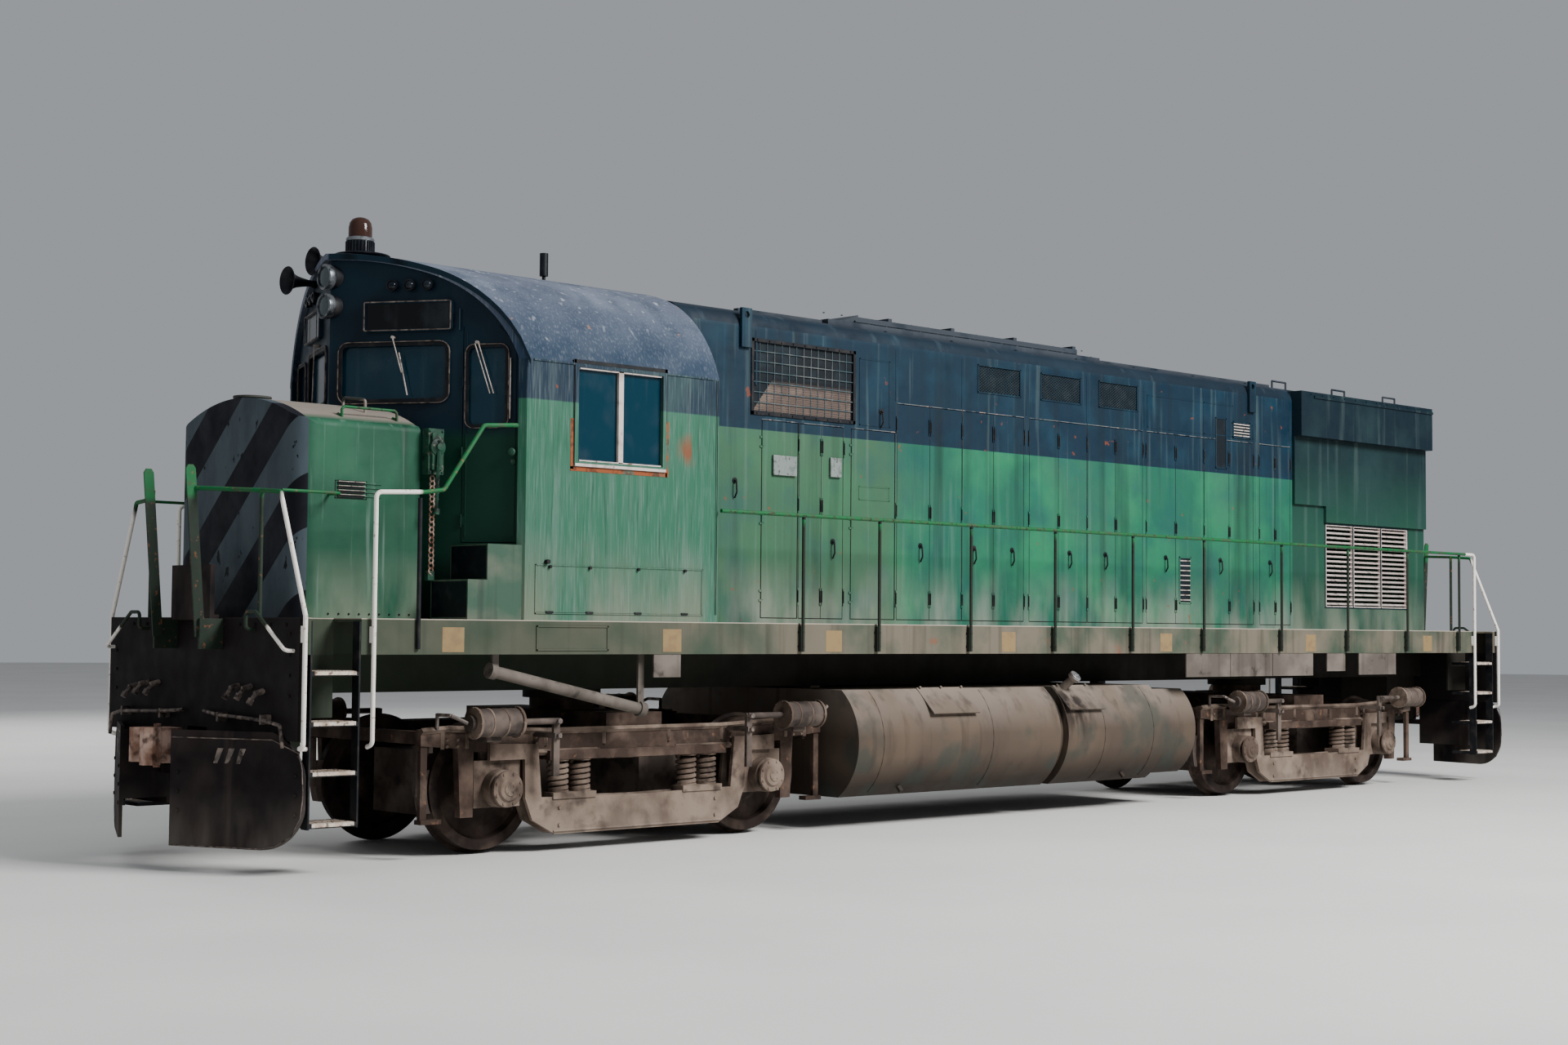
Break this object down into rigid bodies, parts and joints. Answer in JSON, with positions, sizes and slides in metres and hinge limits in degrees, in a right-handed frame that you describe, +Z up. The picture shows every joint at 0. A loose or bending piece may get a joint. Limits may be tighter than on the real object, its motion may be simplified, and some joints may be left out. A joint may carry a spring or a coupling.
{
  "type": "diesel locomotive",
  "caption": "Four-axle road-switcher diesel locomotive with a low short nose, a cab with a pointed front, a long hood with doors and two trucks that swivel.",
  "frame": {"origin": "middle of the locomotive, level with the lowest points of the wheel flanges", "axes": "+X to the short nose, +Y to the left side, +Z up"},
  "size_m": [18.085, 3.026, 5.1419],
  "materials": {
    "green_paint": "weathered green paint",
    "grey_paint": "weathered dark grey paint",
    "grille_steel": "weathered painted louvres",
    "wheel_steel": "rusted steel with bright treads",
    "window_glass": "dark window glass",
    "seat_vinyl": "black vinyl",
    "lamp_housing": "dark housing",
    "rail_paint": "painted steel tube",
    "frame_paint": "dirty dark paint",
    "dusty_steel": "dust-covered cast steel"
  },
  "bodies": {
    "locomotive": {"beacon": "lamp_housing", "cab_floor": "frame_paint", "cab_front_wall": "green_paint", "cab_left_wall": "green_paint", "cab_rear_wall": "green_paint", "cab_right_wall": "green_paint", "cab_roof": "grey_paint", "cab_seats": "seat_vinyl", "cab_windows": "window_glass", "control_stand": "frame_paint", "corner_steps": "rail_paint", "couplers": "dusty_steel", "door_steps": "green_paint", "drop_steps": "rail_paint", "end_rails": "rail_paint", "engine_block": "grey_paint", "fan_grille": "grey_paint", "fuel_tank": "dusty_steel", "hand_brake": "rail_paint", "hood_doors": "green_paint", "hood_grilles": "grille_steel", "hood_left_side": "green_paint", "hood_right_side": "green_paint", "hood_roof": "green_paint", "horns": "grey_paint", "lifting_lugs": "rail_paint", "lights": "lamp_housing", "nose": "green_paint", "pilot_front": "dusty_steel", "pilot_rear": "dusty_steel", "radiator_section": "green_paint", "radiator_shutters": "grille_steel", "roof_hatch": "grey_paint", "side_rails": "rail_paint", "underframe": "frame_paint", "underframe_gear": "frame_paint"},
    "truck_front": {"truck_frame_front": "dusty_steel", "equalizers_front": "dusty_steel", "journal_boxes_front": "dusty_steel", "coil_springs_front": "dusty_steel", "brake_gear_front": "dusty_steel", "traction_motors_front": "dusty_steel"},
    "truck_rear": {"truck_frame_rear": "dusty_steel", "equalizers_rear": "dusty_steel", "journal_boxes_rear": "dusty_steel", "coil_springs_rear": "dusty_steel", "brake_gear_rear": "dusty_steel", "traction_motors_rear": "dusty_steel"},
    "wheelset_1": {"wheelset_1": "wheel_steel"},
    "wheelset_2": {"wheelset_2": "wheel_steel"},
    "wheelset_3": {"wheelset_3": "wheel_steel"},
    "wheelset_4": {"wheelset_4": "wheel_steel"},
    "radiator_fan": {"radiator_fan": "grey_paint"},
    "cab_door_front": {"cab_door_front": "green_paint"},
    "cab_door_rear": {"cab_door_rear": "green_paint"},
    "hood_door_left_a": {"hood_door_left_a": "green_paint"},
    "hood_door_left_c": {"hood_door_left_c": "green_paint"},
    "hood_door_right_a": {"hood_door_right_a": "green_paint"},
    "hood_door_right_c": {"hood_door_right_c": "green_paint"}
  },
  "joints": [
    {"name": "truck_front_swivel", "type": "hinge", "parent": "locomotive", "child": "truck_front", "pos_m": [5.041, 0, 1.2], "axis": [0, 0, 1], "range_deg": [-4, 4]},
    {"name": "truck_rear_swivel", "type": "hinge", "parent": "locomotive", "child": "truck_rear", "pos_m": [-5.041, 0, 1.2], "axis": [0, 0, 1], "range_deg": [-4, 4]},
    {"name": "wheelset_1_roll", "type": "hinge", "parent": "truck_front", "child": "wheelset_1", "pos_m": [6.4635, 0, 0.536], "axis": [0, 1, 0], "continuous": true},
    {"name": "wheelset_2_roll", "type": "hinge", "parent": "truck_front", "child": "wheelset_2", "pos_m": [3.6185, 0, 0.536], "axis": [0, 1, 0], "continuous": true},
    {"name": "wheelset_3_roll", "type": "hinge", "parent": "truck_rear", "child": "wheelset_3", "pos_m": [-3.6185, 0, 0.536], "axis": [0, 1, 0], "continuous": true},
    {"name": "wheelset_4_roll", "type": "hinge", "parent": "truck_rear", "child": "wheelset_4", "pos_m": [-6.4635, 0, 0.536], "axis": [0, 1, 0], "continuous": true},
    {"name": "radiator_fan_spin", "type": "hinge", "parent": "locomotive", "child": "radiator_fan", "pos_m": [-6.23, 0, 4.478], "axis": [0, 0, 1], "continuous": true},
    {"name": "cab_door_front_swing", "type": "hinge", "parent": "locomotive", "child": "cab_door_front", "pos_m": [6.81156, 0.9743, 3.2], "axis": [0, 0, 1], "range_deg": [-85, 0]},
    {"name": "cab_door_rear_swing", "type": "hinge", "parent": "locomotive", "child": "cab_door_rear", "pos_m": [4.522, -0.972, 3.2], "axis": [0, 0, 1], "range_deg": [-90, 0]},
    {"name": "hood_door_left_a_swing", "type": "hinge", "parent": "locomotive", "child": "hood_door_left_a", "pos_m": [3.542, 0.937, 3], "axis": [0, 0, -1], "range_deg": [0, 100]},
    {"name": "hood_door_left_c_swing", "type": "hinge", "parent": "locomotive", "child": "hood_door_left_c", "pos_m": [2.41, 0.937, 3], "axis": [0, 0, -1], "range_deg": [0, 60]},
    {"name": "hood_door_right_a_swing", "type": "hinge", "parent": "locomotive", "child": "hood_door_right_a", "pos_m": [3.542, -0.937, 3], "axis": [0, 0, -1], "range_deg": [-100, 0]},
    {"name": "hood_door_right_c_swing", "type": "hinge", "parent": "locomotive", "child": "hood_door_right_c", "pos_m": [2.41, -0.937, 3], "axis": [0, 0, -1], "range_deg": [-60, 0]}
  ]
}
